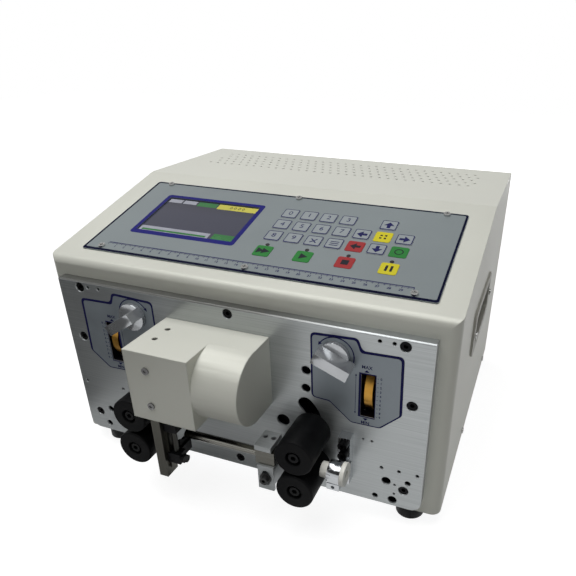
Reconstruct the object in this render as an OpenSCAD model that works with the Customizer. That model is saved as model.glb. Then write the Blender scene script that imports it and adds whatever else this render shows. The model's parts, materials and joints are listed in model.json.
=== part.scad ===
// Bench machine that measures, cuts and strips wire: a sheet case with a sloping keypad panel,
// a thick front plate with four feed rollers, and a covered cutter head between them.
// Millimetres, Z up, front towards -Y. Working frame of the modules: x from the middle,
// y from the front face of the case, z from the case bottom.

/* [Case] */
// Outer width of the case
body_w = 392; // [384:1:440]
// Depth from the front face to the rear face
body_d = 326; // [310:1:400]
// Height of the flat top above the case bottom
body_h = 241; // [232:1:260]
// Height of the lip where the front face meets the panel slope
lip_h = 196.5; // [193:0.5:202]
// Depth at which the panel slope meets the flat top
crease_y = 170; // [164:1:190]
// Sheet thickness
wall = 2; // [1.5:0.1:2.5]
// Radius of the upright front corners
corner_r = 9; // [5:0.5:12]
// Rounding of the lip
lip_r = 8; // [4:0.5:10]
// Rounding of the crease under the flat top
crease_r = 14; // [6:1:20]
// Height of the rubber feet
foot_h = 16; // [10:1:24]
// Diameter of a rubber foot
foot_d = 27; // [20:1:32]
// Distance of the foot centres from the middle
foot_x = 166; // [150:1:172]
// Distance of the foot centres from the front and rear faces
foot_inset = 17; // [16:0.5:24]
// Diameter of a vent hole
vent_d = 3.2; // [2:0.1:4]

/* [Front plate] */
// Width of the front plate
plate_w = 360; // [356:1:372]
// Height of the front plate
plate_h = 172; // [170:0.5:178]
// Thickness of the front plate
plate_t = 9.5; // [8:0.5:12]
// Lower edge of the plate above the case bottom
plate_z = 8.5; // [6:0.5:9]
// Diameter of the screw head pockets
pocket_d = 9.5; // [9:0.1:11]

/* [Feed rollers] */
// Distance of the roller axes from the middle
roller_x = 80.5; // [78:0.5:82]
// Height of the lower roller axes
roller_z = 44; // [43:0.5:45]
// Diameter of a rubber roller
roller_d = 34; // [30:0.5:34.5]
// Distance between the axes of an upper and a lower roller
axis_gap = 36; // [36:0.05:36.3]
// Length of a rubber roller
roller_l = 43.5; // [36:0.5:46]
// Diameter of the roller shafts
shaft_d = 12; // [10:0.5:12]
// Distance of the swing arm pivots from the middle
pivot_x = 48.8; // [48:0.1:50]
// Height of the swing arm pivots
pivot_z = 76; // [75:0.5:77]
// Diameter of the swing arm pivots
pivot_d = 12.4; // [10:0.1:13]

/* [Knobs and wheels] */
// Distance of the lift knobs from the middle
knob_x = 98.5; // [97:0.5:100]
// Height of the lift knobs
knob_z = 155; // [153:0.5:156]
// Diameter of the knob disc
knob_d = 26; // [22:1:30]
// Length of the knob grip
grip_l = 32; // [28:1:40]
// Reach of the knob grip in front of the plate
grip_reach = 20; // [14:0.5:24]
// Distance of the thumbwheels from the middle
wheel_x = 127.4; // [126:0.2:130]
// Height of the thumbwheel axis
wheel_z = 121.2; // [120:0.2:123]
// Diameter of a thumbwheel
wheel_d = 50; // [44:1:50]

/* [Keypad] */
// Width of the keypad sheet
pad_w = 344.8; // [340:0.2:352]
// Length of the keypad sheet down the slope
pad_l = 132.4; // [130:0.2:136]
// Pitch of the key grid
key_pitch = 20.2; // [19.8:0.1:20.4]
// Side of a key
key_s = 16; // [12:0.5:17]
// Travel of a key
key_travel = 0.3; // [0.2:0.05:0.35]

/* [Cutter head] */
// Height of the cutter cover
cover_h = 66.5; // [64:0.5:70]
// Lower edge of the cutter cover
cover_z = 93; // [91:0.5:94]
// Depth of the cutter cover in front of the plate
cover_d = 60.5; // [60:0.5:66]
// Left face of the cutter cover
cover_x0 = -63.2; // [-66:0.2:-62]
// Right end of the cutter cover
cover_x1 = 38.8; // [36:0.2:42]
// Lift of a blade carrier from open to closed
blade_travel = 8; // [5:0.5:8]

/* [Wire path] */
// Wire line in front of the case face
wire_y = -42.6; // [-43.2:0.1:-42]
// Height of the wire line
wire_z = 62.5; // [61:0.5:63]
// Outer diameter of the guide tube
tube_d = 8; // [6:0.5:8.5]
// Bore of the guide tube
tube_bore = 5.5; // [3:0.5:5.5]
// Droop of the guide tube towards the cutter
tube_droop = 0.5; // [0:0.1:1]
// Outer diameter of the entry bush
bush_d = 13.6; // [12:0.2:15]
// Bore of the entry bush
bush_bore = 8; // [4:0.5:10]

/* [Hidden] */
$fn = 64;
// Clearances: loose sheet fit, running fit, sliding block, turning part beside a face
fit = 0.2;
run = 0.05;
slip = 0.3;
face = 0.4;

panel_tilt = atan((body_h - lip_h) / crease_y);
bezel_t = 4;
screw_proud = 1.2;
front_reach = plate_t + cover_d + screw_proud;
front_y = (front_reach - body_d - bezel_t) / 2;
plate_top = plate_z + plate_h;
half_w = body_w / 2;

// Bevel along the top edge of the front plate
bevel = 1.2;

// Openings of the case front and of the panel slope
open_x = 147;
open_z0 = 22;
open_z1 = 165;
pad_u = 1.2;
pad_v = 20.6;
pad_t = 1;
cut_u0 = -144;
cut_v0 = 42;
cut_v1 = 131;
board_t = 1.6;
key_proud = 0.25;

// Gear pair behind the plate
teeth = 24;
tooth_half = 3.25;
gear_y = 2.5;
gear_t = 8;
arm_y = 12;
arm_t = 8;
upper_z = roller_z + axis_gap;
arm_len = norm([roller_x - pivot_x, upper_z - pivot_z]);
arm_rest = atan2(upper_z - pivot_z, roller_x - pivot_x);
slot_end = 46;
roller_front = -59.5;

// Wheel axis depth keeps the rim just inside the plate face
wheel_w = 7;
wheel_y = wheel_d / 2 - plate_t + 0.5;
axle_d = 6;
cheek_in = 6.4;
cheek_t = 4;

// Cutter frame
bar_x0 = -52.4;
bar_x1 = -43.6;
bar_front = -64;
bar_back = -49;
rib_t = 2;
rib_y0 = -59;
rib_y1 = -51.5;
screw_x = -36.8;
screw_y = -55.3;
screw_d = 5;
motor_x = -29.5;
motor_y = -32;
pulley_d = 12;
pulley_z = 113;
deck_z = 119;
deck_t = 4.7;
bar_z = 25;
block_gap = 4;
blade_reach = 2 * block_gap - face;
blade_notch = block_gap + 0.2;
upper_low = wire_z + blade_travel + block_gap;
upper_top = 112;
lower_low = 40;
lower_top = wire_z - blade_travel - block_gap;
blade_t = 2;
blade_half = 6.5;
upper_blade_x = -41.5;
lower_blade_x = upper_blade_x + blade_t + face;
cover_screw_l = 8;
cover_screw_x = -43;
cover_screw_z = [108.5, 143];

// Motors
feed_motor_y = 28;
feed_motor_s = 42;
feed_motor_l = 48;
bolt_off = 15.5;

// Screw places in the front plate: x, z
plate_bolts = [[-156, 174], [156, 174], [0, 174.3], [-164.8, 120.5], [164.8, 120.5], [0, 17.3],
    [163.3, 28.8], [-165.4, 30.4]];
// Plain pockets: x, z, diameter
plate_pockets = [[72, 134], [71.7, 116], [-72, 134], [-71.7, 116], [147.2, 35.5], [153.9, 15],
    [-150.6, 36.8], [-156.3, 17.2], [166.7, 38.3], [137.7, 15.2]];
pocket_sizes = [8.5, 8.5, 8.5, 8.5, 8.5, 8.5, 7, 7, 5.5, 5.5];
// Tapped holes for guards and feeders: x, z
accessory_x = [135.2, 147];
accessory_z = 175;
tap_d = 3.4;
tapped = [[-173.7, 66.7], [-129.2, 66.5], [142.3, 49.3], [158.2, 49.3], [174.5, 49.3]];
pin_holes = [[124.4, 75.9], [132.4, 75.6], [155.1, 33.1], [155.1, 22.7]];
inlet_screw_z = [63.5, 74.5];
inlet_x = 110.5;

// Screw places on the keypad sheet: u, v
pad_screws = [[-152.4, 149], [0.8, 149], [153.2, 149], [-152.4, 25.2], [0.8, 25.2], [152.6, 25.2]];

// Key names by row, from the top row down, then the four function keys
key_rows = [["key_0", "key_1", "key_2", "key_3", "", "key_up", ""],
    ["key_4", "key_5", "key_6", "key_7", "key_left", "key_menu", "key_right"],
    ["key_8", "key_9", "key_clear", "key_program", "key_back", "key_down", "key_enter"]];
key_u0 = 4.2;
cut_u1 = key_u0 + 6 * key_pitch + key_s / 2 + 4.6;
key_v0 = 119;
function_keys = ["key_resume", "key_start", "key_stop", "key_halt"];
function_u0 = 5.2;
function_pitch = 39.4;
function_v = 53;
keys = concat(
    [for (r = [0:2]) for (c = [0:6]) if (key_rows[r][c] != "")
        [key_rows[r][c], key_u0 + c * key_pitch, key_v0 - r * key_pitch]],
    [for (c = [0:3]) [function_keys[c], function_u0 + c * function_pitch, function_v]]);

// Frames and small helpers

module in_case() {
    translate([0, front_y, foot_h]) children();
}

module on_panel() {
    in_case() translate([0, 0, lip_h]) rotate([panel_tilt, 0, 0]) children();
}

module block(x0, x1, y0, y1, z0, z1) {
    translate([x0, y0, z0]) cube([x1 - x0, y1 - y0, z1 - z0]);
}

module rod_x(y, z, d, x0, x1) {
    translate([x0, y, z]) rotate([0, 90, 0]) cylinder(d = d, h = x1 - x0);
}

module rod_y(x, z, d, y0, y1) {
    translate([x, y0, z]) rotate([-90, 0, 0]) cylinder(d = d, h = y1 - y0);
}

module rod_z(x, y, d, z0, z1) {
    translate([x, y, z0]) cylinder(d = d, h = z1 - z0);
}

// Flat shape drawn in x and z, thick along y
module slab_y(y0, y1) {
    translate([0, y1, 0]) rotate([90, 0, 0]) linear_extrude(height = y1 - y0) children();
}

// Flat shape drawn in y and z, thick along x
module slab_x(x0, x1) {
    translate([x0, 0, 0]) rotate([90, 0, 90]) linear_extrude(height = x1 - x0) children();
}

module round_rect(w, h, r) {
    square([w - 2 * r, h], center = true);
    square([w, h - 2 * r], center = true);
    for (sx = [-1, 1]) for (sy = [-1, 1])
        translate([sx * (w / 2 - r), sy * (h / 2 - r)]) circle(r = r, $fn = 32);
}

module both_sides() {
    children();
    mirror([1, 0, 0]) children();
}

function arc(c, r, a0, a1, n) =
    [for (i = [0:n]) c + r * [cos(a0 + (a1 - a0) * i / n), sin(a0 + (a1 - a0) * i / n)]];

// The same without its two ends
function cap(c, r, a0, a1, n) =
    [for (i = [1:n - 1]) c + r * [cos(a0 + (a1 - a0) * i / n), sin(a0 + (a1 - a0) * i / n)]];

// Side profile of the case, set in by t
function side_profile(t, low, back) = concat(
    [[t, low]],
    arc([lip_r, lip_h + lip_r * tan(panel_tilt) - lip_r / cos(panel_tilt)], lip_r - t,
        180, 90 + panel_tilt, 10),
    arc([(body_h - crease_r - lip_h + crease_r / cos(panel_tilt)) / tan(panel_tilt), body_h - crease_r],
        crease_r - t, 90 + panel_tilt, 90, 5),
    [[back, body_h - t], [back, low]]);

module plan(t, back) {
    for (s = [-1, 1]) translate([s * (half_w - corner_r), corner_r]) circle(r = corner_r - t);
    translate([-half_w + corner_r, t]) square([body_w - 2 * corner_r, corner_r + 1]);
    translate([-half_w + t, corner_r]) square([body_w - 2 * t, back - corner_r]);
}

module case_form(t, low, back) {
    intersection() {
        slab_x(-half_w + t, half_w - t) polygon(side_profile(t, low, back));
        translate([0, 0, low]) linear_extrude(height = body_h - low + 1) plan(t, back);
    }
}

// Case

handle_y = 147;
handle_z = 140;
handle_l = 118;
handle_h = 48;
handle_t = 2;
pocket_l = 94;
pocket_h = 34;
pocket_deep = 27;

vent_pitch = 10;
vent_margin = 60;

module vents() {
    cols = floor((body_w - vent_margin) / vent_pitch);
    for (r = [0:4]) for (c = [0:cols - 1])
        translate([(c - cols / 2 + (r % 2) / 2 + 0.25) * vent_pitch, 242 + r * 13.4, body_h - wall - 1])
            cylinder(d = vent_d, h = wall + 2, $fn = 10);
}

module housing_cover() {
    color("Ivory") in_case() difference() {
        union() {
            difference() {
                case_form(0, 0, body_d);
                case_form(wall, -1, body_d + 1);
            }
            block(-150, 150, body_d - 2 * wall - fit, body_d - wall - fit,
                body_h - wall - 16, body_h - wall / 2);
        }
        block(-open_x, open_x, -1, wall + 1, open_z0, open_z1);
        vents();
        for (b = plate_bolts) rod_y(b[0], b[1], 5.5, -1, wall + 1);
        both_sides() {
            block(half_w - wall - 1, half_w + 1, handle_y - pocket_l / 2, handle_y + pocket_l / 2,
                handle_z - pocket_h / 2, handle_z + pocket_h / 2);
            for (s = [-1, 1]) rod_x(handle_y + s * 53, handle_z, 3.4, half_w - wall - 1, half_w + 1);
            for (y = [120, 280]) rod_x(y, 10, 3.4, half_w - wall - 1, half_w + 1);
        }
        for (x = [-120, 0, 120]) rod_y(x, body_h - 10, 3.4, body_d - 3 * wall - 1, body_d);
        translate([0, 0, lip_h]) rotate([panel_tilt, 0, 0]) {
            block(cut_u0, cut_u1, cut_v0, cut_v1, -wall - 2, 2);
            for (p = pad_screws) rod_z(p[0], p[1], 3.4, -wall - 2, 2);
        }
    }
}

module base_pan() {
    inset = wall + fit;
    color("Silver") in_case() difference() {
        union() {
            intersection() {
                linear_extrude(height = wall) plan(inset, body_d);
                block(-half_w, half_w, 0, body_d - inset, -1, wall + 1);
            }
            both_sides() block(half_w - inset - wall, half_w - inset, 30, body_d - 30, 0, 18);
            block(-150, 150, body_d - inset - wall, body_d - inset, 0, 20);
        }
        for (x = [-foot_x, foot_x]) for (y = [foot_inset, body_d - foot_inset])
            rod_z(x, y, 8.4, -1, wall + 1);
        both_sides() for (y = [120, 280])
            rod_x(y, 10, 3.4, half_w - inset - wall - 1, half_w);
        for (x = [-120, 0, 120]) rod_y(x, 12, 3.4, body_d - inset - wall - 1, body_d);
    }
}

module rubber_feet() {
    color("DimGray") in_case()
        for (x = [-foot_x, foot_x]) for (y = [foot_inset, body_d - foot_inset]) {
            rod_z(x, y, foot_d, -foot_h, 0);
            rod_z(x, y, 8, -1, wall + 1.5);
        }
}

inlet_pos = [66 - half_w, 60];
rocker_pos = [116 - half_w, 60];

module rear_panel() {
    inset = wall + fit;
    color("Ivory") in_case() difference() {
        block(-half_w + inset, half_w - inset, body_d - wall, body_d, wall / 2, body_h - inset);
        translate([inlet_pos[0], 0, inlet_pos[1]]) block(-14.2, 14.2, body_d - 9, body_d + 1, -10.7, 10.7);
        translate([rocker_pos[0], 0, rocker_pos[1]]) block(-7.7, 7.7, body_d - 9, body_d + 1, -13, 13);
        for (x = [-120, 0, 120]) for (z = [12, body_h - 10]) rod_y(x, z, 3.4, body_d - wall - 1, body_d + 1);
        for (x = [30:14:142]) block(x - 2.5, x + 2.5, body_d - wall - 1, body_d + 1, 120, 170);
    }
}

module pan_screw(len) {
    difference() {
        cylinder(d = 6.5, h = 1.8);
        translate([-2.2, -0.4, 1]) cube([4.4, 0.8, 1]);
        translate([-0.4, -2.2, 1]) cube([0.8, 4.4, 1]);
    }
    translate([0, 0, -len]) cylinder(d = 3, h = len + 0.5);
}

module case_screws() {
    color("Gainsboro") {
        on_panel() for (p = pad_screws) translate([p[0], p[1], pad_t]) pan_screw(5);
        in_case() {
            for (x = [-120, 0, 120]) for (z = [12, body_h - 10])
                translate([x, body_d, z]) rotate([-90, 0, 0]) pan_screw(6);
            both_sides() {
                for (s = [-1, 1])
                    translate([half_w + handle_t, handle_y + s * 53, handle_z])
                        rotate([0, 90, 0]) pan_screw(6);
                for (y = [120, 280]) translate([half_w, y, 10]) rotate([0, 90, 0]) pan_screw(6);
            }
        }
    }
}

module side_handles() {
    color("LightGray") in_case() both_sides() translate([half_w, handle_y, handle_z]) difference() {
        union() {
            slab_x(0, handle_t) round_rect(handle_l, handle_h, 10);
            slab_x(-pocket_deep, 1) round_rect(pocket_l - 2 * fit, pocket_h - 2 * fit, 6);
        }
        slab_x(-pocket_deep + wall, handle_t + 1)
            round_rect(pocket_l - 2 * fit - 2 * wall, pocket_h - 2 * fit - 2 * wall, 4);
        for (s = [-1, 1]) rod_x(s * 53, 0, 3.4, -1, handle_t + 1);
    }
}

// Front plate

// Curved slot that the upper roller shaft swings through
module swing_slot() {
    w = shaft_d / 2 + 1;
    low_end = arm_len * [cos(arm_rest), sin(arm_rest)];
    high_end = arm_len * [cos(slot_end), sin(slot_end)];
    translate([pivot_x, pivot_z]) polygon(concat(
        arc([0, 0], arm_len + w, arm_rest, slot_end, 16),
        cap(high_end, w, slot_end, slot_end + 180, 16),
        arc([0, 0], arm_len - w, slot_end, arm_rest, 16),
        cap(low_end, w, arm_rest - 180, arm_rest, 16)));
}

module plate_slab() {
    intersection() {
        slab_x(-plate_w / 2, plate_w / 2) polygon([[0, plate_z], [-plate_t, plate_z],
            [-plate_t, plate_top - bevel], [bevel - plate_t, plate_top], [0, plate_top]]);
        slab_y(-plate_t - 1, 1) {
            translate([-plate_w / 2, plate_z + 10]) square([plate_w, plate_h]);
            translate([-plate_w / 2 + 10, plate_z]) square([plate_w - 20, 20]);
            for (s = [-1, 1]) translate([s * (plate_w / 2 - 10), plate_z + 10]) circle(r = 10);
        }
    }
}

module front_plate() {
    color("LightSteelBlue") in_case() difference() {
        union() {
            plate_slab();
            both_sides() for (s = [-1, 1])
                translate([wheel_x + s * (cheek_in + cheek_t / 2), 0, wheel_z])
                    block(-cheek_t / 2, cheek_t / 2, -1, wheel_y + 8, -9, 9);
        }
        for (b = plate_bolts) {
            rod_y(b[0], b[1], pocket_d, -plate_t - 1, 6 - plate_t);
            rod_y(b[0], b[1], 5.5, -plate_t - 1, 1);
        }
        for (i = [0:len(plate_pockets) - 1])
            rod_y(plate_pockets[i][0], plate_pockets[i][1], pocket_sizes[i], -plate_t - 1, 8.5 - plate_t);
        for (s = [-1, 1]) for (x = accessory_x)
            rod_y(s * x, accessory_z, tap_d, -plate_t - 1, 7.5 - plate_t);
        for (p = tapped) rod_y(p[0], p[1], tap_d, -plate_t - 1, 7 - plate_t);
        for (p = pin_holes) rod_y(p[0], p[1], 2.4, -plate_t - 1, 6 - plate_t);
        for (z = inlet_screw_z) rod_y(inlet_x, z, 4.2, -plate_t - 1, 6 - plate_t);
        both_sides() {
            slab_y(-plate_t - 1, 1) swing_slot();
            rod_y(roller_x, roller_z, shaft_d + 2 * run, -plate_t - 1, 1);
            rod_y(pivot_x, pivot_z, pivot_d + 2 * run, -plate_t - 1, 1);
            rod_y(knob_x, knob_z, 8 + 2 * run, -plate_t - 1, 1);
            block(wheel_x - 6.2, wheel_x + 6.2, -plate_t - 1, 1, wheel_z - 21, wheel_z + 21);
            rod_x(wheel_y, wheel_z, axle_d + 2 * run, wheel_x - 20, wheel_x + 20);
        }
    }
}

module socket_head(d, h, len, sd) {
    difference() {
        rotate([90, 0, 0]) cylinder(d = d, h = h);
        translate([0, -h - 0.1, 0]) rotate([-90, 0, 0]) cylinder(d = d / 2, h = 2.6, $fn = 6);
    }
    rotate([-90, 0, 0]) translate([0, 0, -0.5]) cylinder(d = sd, h = len + 0.5);
}

module socket_screws() {
    color("DarkSlateGray") in_case() {
        for (b = plate_bolts) translate([b[0], 6 - plate_t, b[1]]) socket_head(8.5, 5, 12, 5);
        for (z = inlet_screw_z) translate([inlet_x, -plate_t - 10, z]) socket_head(8.5, 5, 15, 4);
        for (z = cover_screw_z)
            translate([cover_screw_x, -plate_t - cover_d, z]) socket_head(6.5, screw_proud, cover_screw_l, 3);
        translate([49.5, -50, 42]) {
            rod_y(0, 0, 11, -1, 0);
            translate([0, -1, 0]) socket_head(7.5, 4, 12, 4);
        }
        for (x = [43, 51]) rod_z(x, -34, 4, ledge_z - 2, clamp_z + 3.7);
    }
}

// Keypad

module key_holes(gap) {
    for (k = keys) translate([k[1], k[2]]) round_rect(key_s + 2 * gap, key_s + 2 * gap, 2 + gap);
}

module keypad_overlay() {
    color("SlateGray") on_panel() linear_extrude(height = pad_t) difference() {
        translate([pad_u, pad_v + pad_l / 2]) round_rect(pad_w, pad_l, 3);
        key_holes(fit);
        translate([-137.5, 60]) square([106, 64]);
        for (p = pad_screws) translate([p[0], p[1]]) circle(d = 3.4);
    }
}

module display_module() {
    color("MidnightBlue") on_panel() {
        block(cut_u0 - 5, cut_u1 + 5, cut_v0 - 4, cut_v1 + 4, -wall - board_t, -wall);
        block(-141, -28, 56, 128, -wall - 0.5, -0.1);
    }
}

module panel_key(k) {
    plunge = wall - key_travel - 0.05;
    color("WhiteSmoke") on_panel() translate([k[1], k[2], 0]) {
        translate([0, 0, key_proud]) linear_extrude(height = pad_t) round_rect(key_s, key_s, 2);
        translate([0, 0, -plunge]) cylinder(d = 5, h = plunge + key_proud + 0.5);
    }
}

// Feed drive

module gear(phase) {
    pitch_r = axis_gap / 2;
    r1 = pitch_r - 1.1;
    r2 = pitch_r + 0.8;
    h1 = tooth_half + 1.7;
    h2 = tooth_half - 1.1;
    polygon([for (i = [0:teeth - 1]) for (k = [0:3])
        let (a = phase + i * 360 / teeth + [-h1, -h2, h2, h1][k], r = (k == 0 || k == 3) ? r1 : r2)
            r * [cos(a), sin(a)]]);
}

module rubber_roller(z) {
    translate([roller_x, roller_front, z]) rotate([-90, 0, 0]) rotate_extrude() polygon([
        [shaft_d / 2 + run, 5], [6.8, 5], [6.8, 0], [roller_d / 2 - 1, 0], [roller_d / 2, 1],
        [roller_d / 2, roller_l - 1], [roller_d / 2 - 1, roller_l], [shaft_d / 2 + run, roller_l]]);
}

module roller_shaft(z, back, phase) {
    rod_y(roller_x, z, shaft_d, roller_front + 5, back);
    rod_y(roller_x, z, 20, roller_front + roller_l + slip, -plate_t - face);
    translate([roller_x, roller_front + 5, z]) difference() {
        rotate([90, 0, 0]) cylinder(d = 9, h = 4);
        translate([0, -4.1, 0]) rotate([-90, 0, 0]) cylinder(d = 5, h = 3, $fn = 6);
    }
    translate([roller_x, 0, z]) slab_y(gear_y, gear_y + gear_t) gear(phase);
}

module lower_shaft() {
    roller_shaft(roller_z, feed_motor_y - 2 - slip, 0);
}

module upper_shaft() {
    roller_shaft(upper_z, arm_y + arm_t + 4, 360 / teeth / 2);
    rod_y(roller_x, upper_z, 17, arm_y + arm_t + face, arm_y + arm_t + 4);
}

module swing_arm() {
    tail = knob_x - 8 - face;
    slab_y(arm_y, arm_y + arm_t) difference() {
        union() {
            translate([roller_x, upper_z]) circle(r = 12);
            translate([pivot_x, pivot_z]) circle(r = 12);
            polygon([[pivot_x, pivot_z - 10], [roller_x, upper_z - 10], [roller_x, upper_z + 10],
                [pivot_x, pivot_z + 10]]);
            polygon([[roller_x - 10, upper_z], [roller_x + 10, upper_z], [tail, upper_z + 25],
                [tail, knob_z - 2], [tail - 9, knob_z - 2]]);
        }
        translate([roller_x, upper_z]) circle(d = shaft_d + 2 * run);
    }
    rod_y(pivot_x, pivot_z, pivot_d, 6.5 - plate_t, arm_y + arm_t);
}

module lift_knob(turn) {
    back = -plate_t - face;
    front = -plate_t - grip_reach;
    rod_y(knob_x, knob_z, knob_d, back - 5, back);
    translate([knob_x, 0, knob_z]) rotate([0, turn, 0])
        block(-13.5, grip_l - 13.5, front, back - 4, -4.8, 4.8);
    rod_y(knob_x, knob_z, 8, back - 1, arm_y + 6);
    rod_y(knob_x, knob_z - 7, 16, arm_y, arm_y + 6);
}

module gap_wheel() {
    rod_x(wheel_y, wheel_z, wheel_d, wheel_x - wheel_w / 2, wheel_x + wheel_w / 2);
    rod_x(wheel_y, wheel_z, axle_d + 6, wheel_x - cheek_in + slip, wheel_x + cheek_in - slip);
    rod_x(wheel_y, wheel_z, axle_d, wheel_x - cheek_in - cheek_t, wheel_x + cheek_in + cheek_t);
}

module left_lower_roller() {
    color("DimGray") in_case() mirror([1, 0, 0]) rubber_roller(roller_z);
}

module left_upper_roller() {
    color("DimGray") in_case() mirror([1, 0, 0]) rubber_roller(upper_z);
}

module right_lower_roller() {
    color("DimGray") in_case() rubber_roller(roller_z);
}

module right_upper_roller() {
    color("DimGray") in_case() rubber_roller(upper_z);
}

module left_lower_shaft() {
    color("Silver") in_case() mirror([1, 0, 0]) lower_shaft();
}

module left_upper_shaft() {
    color("Silver") in_case() mirror([1, 0, 0]) upper_shaft();
}

module right_lower_shaft() {
    color("Silver") in_case() lower_shaft();
}

module right_upper_shaft() {
    color("Silver") in_case() upper_shaft();
}

module left_swing_arm() {
    color("SteelBlue") in_case() mirror([1, 0, 0]) swing_arm();
}

module right_swing_arm() {
    color("SteelBlue") in_case() swing_arm();
}

module left_lift_knob() {
    color("Gainsboro") in_case() mirror([1, 0, 0]) lift_knob(33);
}

module right_lift_knob() {
    color("Gainsboro") in_case() lift_knob(22);
}

module left_gap_wheel() {
    color("Orange") in_case() mirror([1, 0, 0]) gap_wheel();
}

module right_gap_wheel() {
    color("Orange") in_case() gap_wheel();
}

// Cutter head

cover_top = cover_z + cover_h;
cover_front = -plate_t - cover_d;
cover_mid = -2.5;

module round_end(t) {
    r = cover_h / 2;
    back = (t > 0) ? 1 : 0;
    intersection() {
        union() {
            translate([cover_front + r, cover_z + r]) circle(r = r - t);
            translate([cover_front + r, cover_z + t]) square([cover_d, cover_h - 2 * t]);
        }
        translate([cover_front, cover_z]) square([cover_d + back, cover_h]);
    }
}

module cutter_cover() {
    color("Ivory") in_case() difference() {
        union() {
            block(cover_x0, cover_mid, cover_front, -plate_t, cover_z, cover_top);
            slab_x(cover_mid - 1, cover_x1) round_end(0);
        }
        block(cover_x0 + wall, cover_mid - wall, cover_front + wall, 1 - plate_t,
            cover_z - 1, cover_top - wall);
        slab_x(cover_mid - wall - 1, cover_x1 - wall) round_end(wall);
        for (y = [-28, -46]) rod_z(-48.7, y, 5, cover_top - wall - 1, cover_top + 1);
        for (z = cover_screw_z) rod_y(cover_screw_x, z, 3.4, cover_front - 1, cover_front + wall + 1);
    }
}

module cutter_frame() {
    color("Silver") in_case() difference() {
        union() {
            slab_x(bar_x0, bar_x1) {
                translate([bar_front, bar_z]) square([bar_back - bar_front, deck_z - bar_z]);
                translate([bar_front, cover_z + 1]) square([-plate_t - bar_front, deck_z - cover_z - 1]);
                translate([bar_front, deck_z - 1]) square([10, 34]);
            }
            for (z = cover_screw_z) rod_y(cover_screw_x, z, 9, cover_front + wall, bar_front + 1);
            block(bar_x0, -11, -62, -plate_t, deck_z, deck_z + deck_t);
            block(bar_x1 - 1, bar_x1 + rib_t, rib_y0, rib_y1, bar_z + 8, pulley_z - face);
        }
        rod_z(motor_x, motor_y, pulley_d + 1, deck_z - 1, deck_z + deck_t + 1);
        rod_z(screw_x, screw_y, screw_d + 2 * run, deck_z - 1, deck_z + deck_t + 1);
        for (z = cover_screw_z) rod_y(cover_screw_x, z, 3.2, cover_front, bar_front + 6);
    }
}

module motor_can(s, l) {
    c = s / 2;
    k = 4;
    linear_extrude(height = l) polygon([[-c, k - c], [k - c, -c], [c - k, -c], [c, k - c],
        [c, c - k], [c - k, c], [k - c, c], [-c, c - k]]);
}

module stepper_motors() {
    color("DarkGray") in_case() {
        translate([motor_x, motor_y, deck_z + deck_t]) motor_can(35, 31.5);
        rod_z(motor_x, motor_y, pulley_d, pulley_z, deck_z + deck_t + 1);
        both_sides() translate([roller_x, feed_motor_y, roller_z]) rotate([-90, 0, 0]) {
            motor_can(feed_motor_s, feed_motor_l);
            translate([0, 0, -2]) cylinder(d = 22, h = 3);
            for (sx = [-1, 1]) for (sy = [-1, 1])
                translate([sx * bolt_off, sy * bolt_off, -feed_motor_y])
                    cylinder(d = 5, h = feed_motor_y + 1);
        }
    }
}

module carrier_block(z0, z1) {
    left = bar_x1 + slip;
    difference() {
        union() {
            block(left, -31, -60, -50, z0, z1);
            block(left, -35, -51, wire_y + blade_half + 0.6, z0, z1);
        }
        rod_z(screw_x, screw_y, screw_d + 2 * run, z0 - 1, z1 + 1);
        block(bar_x1 - 1, bar_x1 + rib_t + slip, rib_y0 - slip, rib_y1 + slip, z0 - 1, z1 + 1);
    }
}

// Blade with a V edge: x of its left face, root height, tip height, notch height
module blade(x0, root, tip, notch) {
    slab_x(x0, x0 + blade_t) polygon([[wire_y - blade_half, root], [wire_y - blade_half, tip],
        [wire_y, notch], [wire_y + blade_half, tip], [wire_y + blade_half, root]]);
}

module blade_slot(x0, root, out) {
    low = min(root, out);
    high = max(root, out);
    block(x0 - run, x0 + blade_t + run, wire_y - blade_half - run, wire_y + blade_half + run,
        low - run, high + run);
}

module upper_blade_carrier() {
    color("DarkGray") in_case() {
        difference() {
            carrier_block(upper_low, upper_top);
            blade_slot(upper_blade_x, upper_low + 18, upper_low - 1);
        }
        blade(upper_blade_x, upper_low + 18, upper_low - blade_reach, upper_low - blade_notch);
    }
}

module lower_blade_carrier() {
    color("DarkGray") in_case() {
        difference() {
            carrier_block(lower_low, lower_top);
            blade_slot(lower_blade_x, lower_low + 4, lower_top + 1);
        }
        blade(lower_blade_x, lower_low + 4, lower_top + blade_reach, lower_top + blade_notch);
        rod_x(-56.5, lower_low + 4.5, 7, -31.5, -28);
        rod_x(-52.2, lower_low + 1.5, 7, -31.5, -28.5);
    }
}

module lead_screw() {
    color("Silver") in_case() {
        rod_z(screw_x, screw_y, screw_d, lower_low + 1, deck_z + deck_t - slip);
        rod_z(screw_x, screw_y, pulley_d, pulley_z, deck_z - face);
    }
}

// Wire path

// Seat of the tube's holder block on the bracket, and underside of the clamp
ledge_z = wire_z - 7.6;
clamp_z = wire_z + 6.6;
holder_x0 = 39.5;
holder_x1 = 57.5;
holder_half = 5.5;

module on_tube() {
    translate([47, wire_y, wire_z + 0.6]) rotate([0, -tube_droop, 0]) children();
}

module guide_tube() {
    color("BurlyWood") in_case() difference() {
        union() {
            on_tube() rod_x(0, 0, tube_d, -80.5, 10);
            block(holder_x0, holder_x1, wire_y - holder_half, wire_y + holder_half, ledge_z, clamp_z);
        }
        on_tube() rod_x(0, 0, tube_bore, -82, 12);
    }
}

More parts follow.
